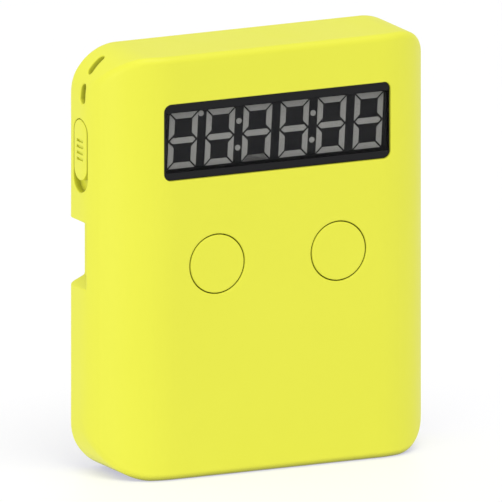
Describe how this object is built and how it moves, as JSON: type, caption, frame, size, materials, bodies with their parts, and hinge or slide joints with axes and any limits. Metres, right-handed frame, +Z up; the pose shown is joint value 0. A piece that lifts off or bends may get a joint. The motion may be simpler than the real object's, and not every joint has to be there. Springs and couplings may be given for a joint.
{
  "type": "pocket digital timer",
  "caption": "Pocket-size digital round timer with a recessed display window, push buttons, a side power slider, a lanyard eye and a hinged battery door.",
  "frame": {"origin": "on the flat bottom, at mid width and mid depth of the case", "axes": "+Z up, display faces -Y, +X to the right when facing the display"},
  "size_m": [0.0682, 0.0178, 0.0796],
  "materials": {
    "lime_plastic": "fine satin moulded texture",
    "lens_smoke": "polished dark window",
    "cell_glass": "polished",
    "display_black": "dark polariser",
    "segment_grey": "flat grey",
    "seal_grey": "cured epoxy",
    "tape_black": "adhesive tape",
    "frame_white": "moulded",
    "strip_rubber": "silicone",
    "board_green": "solder mask",
    "screw_steel": "zinc plated",
    "switch_black": "moulded",
    "switch_metal": "tin plated",
    "dome_resin": "cured resin",
    "crystal_metal": "drawn can",
    "capacitor_sleeve": "shrink sleeve",
    "chip_body": "fired",
    "buzzer_brass": "rolled",
    "buzzer_white": "fired wafer",
    "spring_steel": "drawn wire",
    "contact_nickel": "nickel plated",
    "cell_jacket": "printed jacket over a steel can",
    "pad_foam": "foam",
    "lead_black": "insulated wire"
  },
  "bodies": {
    "case": {"front_shell": "lime_plastic", "rear_cover": "lime_plastic", "housing_screws": "screw_steel", "display_lens": "lens_smoke", "lens_tape": "tape_black", "display_front_glass": "cell_glass", "display_seal": "seal_grey", "display_rear_glass": "display_black", "display_rear_film": "display_black", "display_segments": "segment_grey", "display_frame": "frame_white", "contact_strip": "strip_rubber", "main_board": "board_green", "board_screws": "screw_steel", "push_switch_bodies": "switch_black", "push_switch_covers": "switch_metal", "push_switch_pins": "switch_metal", "power_switch_can": "switch_metal", "power_switch_base": "switch_black", "controller_dome": "dome_resin", "crystal_can": "crystal_metal", "capacitor": "capacitor_sleeve", "chip_resistors": "chip_body", "buzzer_disc": "buzzer_brass", "buzzer_ceramic": "buzzer_white", "buzzer_springs": "spring_steel", "upper_cell": "cell_jacket", "lower_cell": "cell_jacket", "plus_contact": "contact_nickel", "minus_contact": "contact_nickel", "minus_lead": "lead_black", "link_contact": "contact_nickel", "cell_springs": "spring_steel"},
    "left_button": {"left_button": "lime_plastic"},
    "right_button": {"right_button": "lime_plastic"},
    "left_plunger": {"left_plunger": "switch_black"},
    "right_plunger": {"right_plunger": "switch_black"},
    "power_knob": {"power_knob": "lime_plastic"},
    "power_lever": {"power_lever": "switch_black"},
    "battery_door": {"battery_door": "lime_plastic", "door_pad": "pad_foam"}
  },
  "joints": [
    {"name": "left_button_press", "type": "slide", "parent": "case", "child": "left_button", "axis": [0, 1, 0], "range_m": [0, 0.0005], "stiffness_N_per_m": 3000},
    {"name": "right_button_press", "type": "slide", "parent": "case", "child": "right_button", "axis": [0, 1, 0], "range_m": [0, 0.0005], "stiffness_N_per_m": 3000},
    {"name": "left_plunger_press", "type": "slide", "parent": "case", "child": "left_plunger", "axis": [0, 1, 0], "range_m": [0, 0.0005]},
    {"name": "right_plunger_press", "type": "slide", "parent": "case", "child": "right_plunger", "axis": [0, 1, 0], "range_m": [0, 0.0005]},
    {"name": "power_slide", "type": "slide", "parent": "case", "child": "power_knob", "axis": [0, 0, -1], "range_m": [0, 0.0022]},
    {"name": "power_lever_slide", "type": "slide", "parent": "case", "child": "power_lever", "axis": [0, 0, -1], "range_m": [0, 0.0022]},
    {"name": "door_swing", "type": "hinge", "parent": "case", "child": "battery_door", "pos_m": [0, 0.0089, 0.00345], "axis": [-1, 0, 0], "range_deg": [0, 90]}
  ],
  "couplings": [
    {"joint": "left_plunger_press", "follows": "left_button_press", "ratio": 1},
    {"joint": "right_plunger_press", "follows": "right_button_press", "ratio": 1},
    {"joint": "power_lever_slide", "follows": "power_slide", "ratio": 1}
  ]
}
